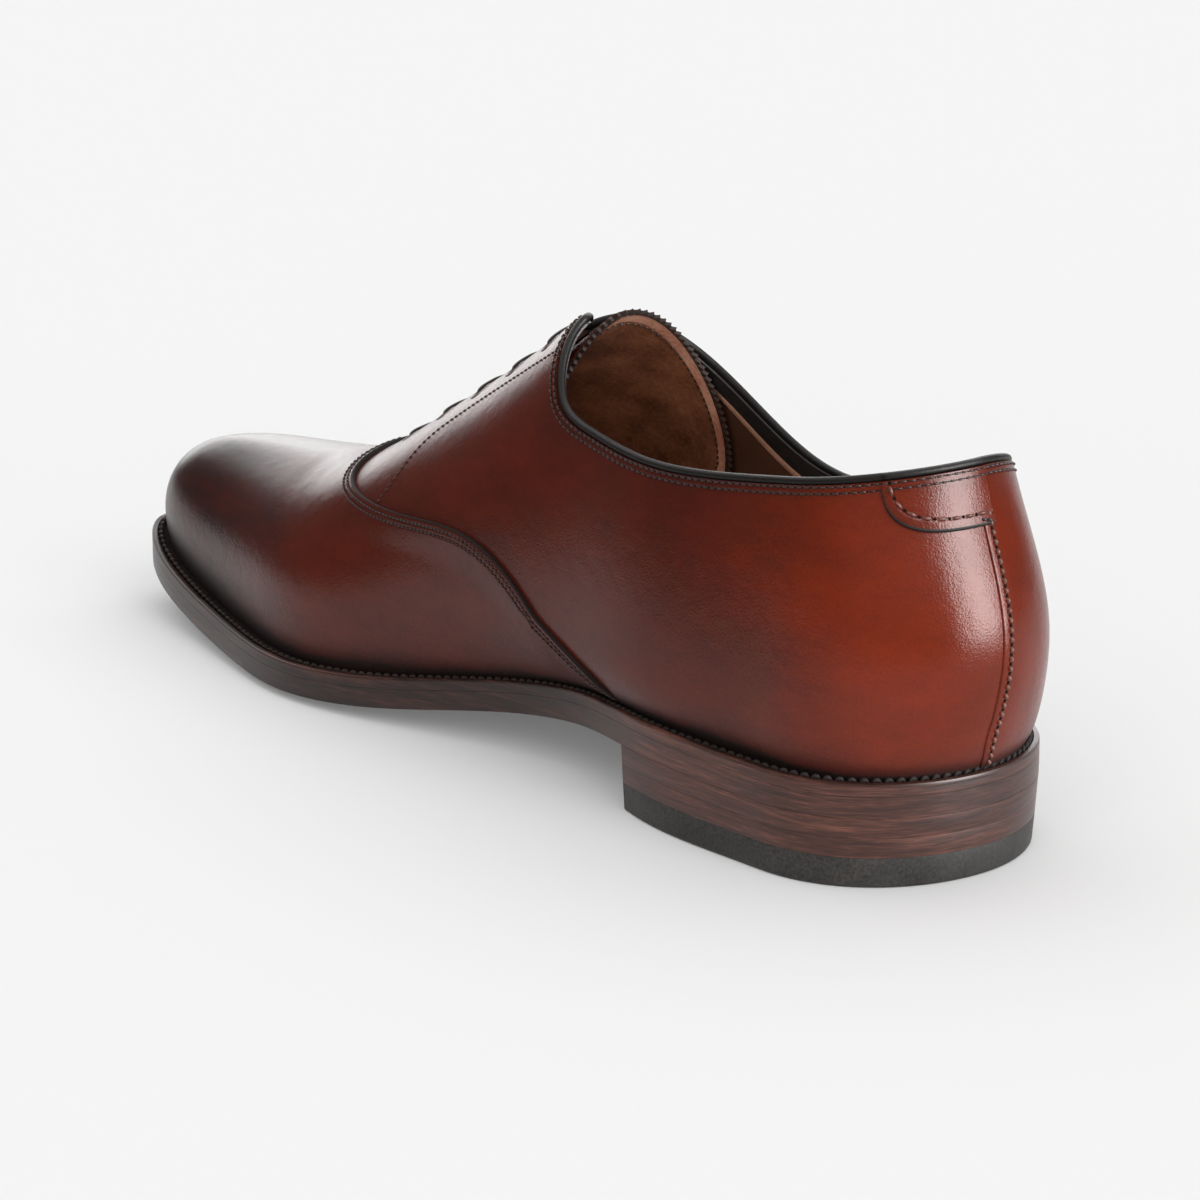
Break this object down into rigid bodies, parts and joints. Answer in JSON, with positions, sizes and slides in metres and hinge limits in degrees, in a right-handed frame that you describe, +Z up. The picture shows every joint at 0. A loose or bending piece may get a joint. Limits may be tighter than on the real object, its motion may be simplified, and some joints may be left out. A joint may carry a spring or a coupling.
{
  "type": "plain-toe oxford shoe",
  "caption": "Right plain-toe oxford in burnished brown leather: hollow lasted upper, closed lacing, arched tongue, piped collar, welted leather sole and stacked heel with a rubber top piece.",
  "frame": {"origin": "centre of the bounding box at floor level, under the middle of the sole", "axes": "+X towards the toe, +Y towards the inner side of the foot, +Z up"},
  "size_m": [0.3084, 0.0954, 0.1065],
  "materials": {
    "upper_leather": "burnished and waxed calf",
    "binding_leather": "smooth, black",
    "tongue_leather": "matt flesh side",
    "insole_leather": "matt",
    "welt_leather": "waxed edge",
    "outsole_leather": "waxed edge",
    "heel_leather": "waxed edge",
    "heel_rubber": "matt",
    "lace_cotton": "waxed"
  },
  "bodies": {
    "root": {"upper": "upper_leather", "heel_tab": "upper_leather", "collar_binding": "binding_leather", "tongue": "tongue_leather", "insole": "insole_leather", "welt": "welt_leather", "outsole": "outsole_leather", "heel_lift_1": "heel_leather", "heel_lift_2": "heel_leather", "heel_top_piece": "heel_rubber", "lace_bar_1": "lace_cotton", "lace_bar_2": "lace_cotton", "lace_bar_3": "lace_cotton", "lace_bar_4": "lace_cotton", "lace_bar_5": "lace_cotton"}
  },
  "joints": []
}
